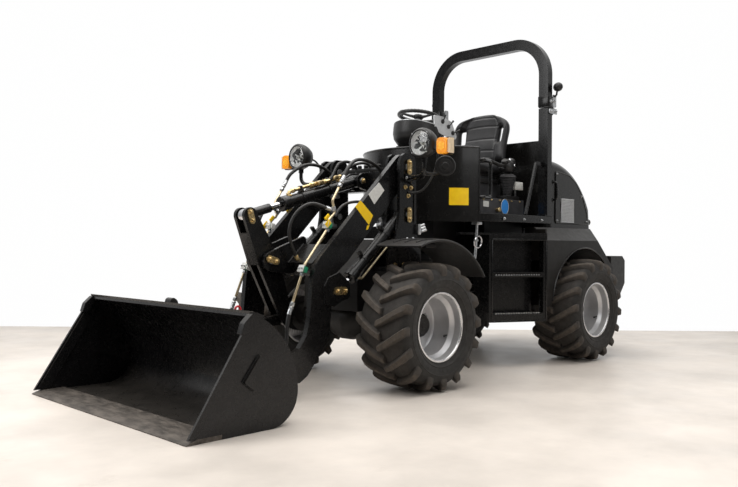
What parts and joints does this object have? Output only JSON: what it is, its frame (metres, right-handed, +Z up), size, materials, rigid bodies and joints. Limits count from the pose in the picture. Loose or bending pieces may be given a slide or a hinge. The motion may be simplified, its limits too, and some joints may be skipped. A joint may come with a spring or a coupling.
{
  "type": "compact articulated wheel loader",
  "caption": "Compact articulated wheel loader with front bucket, Z-bar linkage, lugged tyres, open operator station and folding roll-over hoop.",
  "frame": {"origin": "bottom centre of the whole machine's box, on the ground", "axes": "+X forward to the bucket, +Y to the operator's left, +Z up"},
  "size_m": [4.284, 1.608, 2.448],
  "materials": {
    "black_paint": "gloss black enamel",
    "bucket_black": "satin black, scuffed",
    "worn_steel": "worn grey-brown edge",
    "chrome_rod": "polished rod",
    "zinc_steel": "yellow zinc plated",
    "silver_rim": "silver wheel paint",
    "tyre_rubber": "dusty lugged tyre",
    "cast_black": "black painted casting",
    "matte_plastic": "black grained plastic",
    "vinyl": "black seat vinyl",
    "lamp_glass": "clear ribbed lens",
    "amber": "amber lens"
  },
  "bodies": {
    "rear_frame": {"rear_chassis": "black_paint", "rear_axle": "cast_black", "articulation_pins": "zinc_steel", "engine_block": "cast_black", "counterweight": "cast_black", "tow_pin": "zinc_steel", "engine_hood": "black_paint", "rear_wings": "black_paint", "deck": "black_paint", "hydraulic_tank": "black_paint", "step_boxes": "black_paint", "tub_panel": "black_paint", "dash_console": "matte_plastic", "seat_base": "black_paint", "seat_cushion": "vinyl", "seat_back": "vinyl", "control_levers": "matte_plastic", "rops_posts": "black_paint", "rops_hinge_pins": "zinc_steel"},
    "front_frame": {"front_chassis": "black_paint", "loader_tower": "black_paint", "tower_beams": "black_paint", "tower_pins": "zinc_steel", "front_axle": "cast_black", "front_fenders": "black_paint", "headlamps": "black_paint", "headlamp_lenses": "lamp_glass", "indicator_lamps": "amber"},
    "boom": {"boom_arms": "black_paint", "boom_crossbeam": "black_paint", "boom_pipes": "zinc_steel"},
    "bucket_pins": {"bucket_pins": "zinc_steel"},
    "bucket": {"bucket_shell": "bucket_black", "cutting_edge": "worn_steel", "quick_hitch": "black_paint"},
    "bellcrank_pin": {"bellcrank_pin": "zinc_steel"},
    "bellcrank": {"bellcrank": "black_paint"},
    "link_pin": {"link_pin": "zinc_steel"},
    "tilt_link": {"tilt_link": "black_paint"},
    "lift_barrels": {"lift_barrels": "black_paint"},
    "lift_rods": {"lift_rods": "chrome_rod"},
    "tilt_barrel": {"tilt_barrel": "black_paint"},
    "tilt_rod": {"tilt_rod": "chrome_rod"},
    "steer_barrel": {"steer_barrel": "black_paint"},
    "steer_rod": {"steer_rod": "chrome_rod"},
    "rops_hoop": {"rops_hoop": "black_paint"},
    "steering_wheel": {"steering_wheel": "matte_plastic"},
    "front_left_wheel": {"front_left_tyre": "tyre_rubber", "front_left_rim": "silver_rim"},
    "front_right_wheel": {"front_right_tyre": "tyre_rubber", "front_right_rim": "silver_rim"},
    "rear_left_wheel": {"rear_left_tyre": "tyre_rubber", "rear_left_rim": "silver_rim"},
    "rear_right_wheel": {"rear_right_tyre": "tyre_rubber", "rear_right_rim": "silver_rim"}
  },
  "joints": [
    {"name": "articulation", "type": "hinge", "parent": "rear_frame", "child": "front_frame", "pos_m": [-0.527, 0, 0.6], "axis": [0, 0, 1], "range_deg": [-40, 40]},
    {"name": "boom_lift", "type": "hinge", "parent": "front_frame", "child": "boom", "pos_m": [0.261, 0, 1.36], "axis": [0, -1, 0], "range_deg": [0, 85]},
    {"name": "bucket_level", "type": "hinge", "parent": "boom", "child": "bucket_pins", "pos_m": [1.383, 0, 0.16], "axis": [0, 1, 0], "range_deg": [0, 68]},
    {"name": "bucket_tilt", "type": "hinge", "parent": "bucket_pins", "child": "bucket", "pos_m": [1.383, 0, 0.16], "axis": [0, 1, 0], "range_deg": [-40, 50]},
    {"name": "bellcrank_level", "type": "hinge", "parent": "boom", "child": "bellcrank_pin", "pos_m": [1.118, 0, 0.772], "axis": [0, -1, 0], "range_deg": [0, 25.5]},
    {"name": "bellcrank_turn", "type": "hinge", "parent": "bellcrank_pin", "child": "bellcrank", "pos_m": [1.118, 0, 0.772], "axis": [0, -1, 0], "range_deg": [-12, 15]},
    {"name": "link_level", "type": "hinge", "parent": "bucket", "child": "link_pin", "pos_m": [1.403, 0, 0.345], "axis": [0, -1, 0], "range_deg": [0, 48.2]},
    {"name": "link_turn", "type": "hinge", "parent": "link_pin", "child": "tilt_link", "pos_m": [1.403, 0, 0.345], "axis": [0, -1, 0], "range_deg": [-36.1, 45.1]},
    {"name": "lift_barrel_swing", "type": "hinge", "parent": "front_frame", "child": "lift_barrels", "pos_m": [0.258, 0, 1.057], "axis": [0, -1, 0], "range_deg": [0, 84.3]},
    {"name": "lift_rod_slide", "type": "slide", "parent": "lift_barrels", "child": "lift_rods", "axis": [0.7548, 0, -0.656], "range_m": [0, 0.4096]},
    {"name": "tilt_barrel_swing", "type": "hinge", "parent": "front_frame", "child": "tilt_barrel", "pos_m": [0.358, 0, 1.283], "axis": [0, -1, 0], "range_deg": [0, 89.1]},
    {"name": "tilt_rod_slide", "type": "slide", "parent": "tilt_barrel", "child": "tilt_rod", "axis": [0.9622, 0, -0.2724], "range_m": [-0.0742, 0.0595]},
    {"name": "steer_barrel_swing", "type": "hinge", "parent": "rear_frame", "child": "steer_barrel", "pos_m": [-1.007, 0.23, 0.6], "axis": [0, 0, 1], "range_deg": [-6.8, 6.8]},
    {"name": "steer_rod_slide", "type": "slide", "parent": "steer_barrel", "child": "steer_rod", "axis": [1, 0, 0], "range_m": [-0.1537, 0.1537]},
    {"name": "front_left_wheel_spin", "type": "hinge", "parent": "front_frame", "child": "front_left_wheel", "pos_m": [0.398, 0.605, 0.383], "axis": [0, 1, 0], "continuous": true},
    {"name": "front_right_wheel_spin", "type": "hinge", "parent": "front_frame", "child": "front_right_wheel", "pos_m": [0.398, -0.605, 0.383], "axis": [0, 1, 0], "continuous": true},
    {"name": "rear_left_wheel_spin", "type": "hinge", "parent": "rear_frame", "child": "rear_left_wheel", "pos_m": [-1.452, 0.605, 0.383], "axis": [0, 1, 0], "continuous": true},
    {"name": "rear_right_wheel_spin", "type": "hinge", "parent": "rear_frame", "child": "rear_right_wheel", "pos_m": [-1.452, -0.605, 0.383], "axis": [0, 1, 0], "continuous": true},
    {"name": "rops_fold", "type": "hinge", "parent": "rear_frame", "child": "rops_hoop", "pos_m": [-1.182, 0, 1.9], "axis": [0, -1, 0], "range_deg": [0, 100]},
    {"name": "steering_wheel_turn", "type": "hinge", "parent": "rear_frame", "child": "steering_wheel", "pos_m": [-0.269, 0, 1.752], "axis": [-0.1476, 0, 0.989], "continuous": true}
  ],
  "couplings": [
    {"joint": "bucket_level", "follows": "boom_lift", "ratio": 0.8},
    {"joint": "bellcrank_level", "follows": "boom_lift", "ratio": 0.3},
    {"joint": "bellcrank_turn", "follows": "bucket_tilt", "ratio": 0.3},
    {"joint": "link_level", "follows": "boom_lift", "ratio": 0.566},
    {"joint": "link_turn", "follows": "bucket_tilt", "ratio": 0.899},
    {"joint": "lift_barrel_swing", "follows": "boom_lift", "ratio": 0.991},
    {"joint": "lift_rod_slide", "follows": "boom_lift", "m_per_rad": 0.2759},
    {"joint": "tilt_barrel_swing", "follows": "boom_lift", "ratio": 1.047},
    {"joint": "tilt_rod_slide", "follows": "bucket_tilt", "m_per_rad": -0.0848},
    {"joint": "steer_barrel_swing", "follows": "articulation", "ratio": 0.168},
    {"joint": "steer_rod_slide", "follows": "articulation", "m_per_rad": -0.2198}
  ]
}
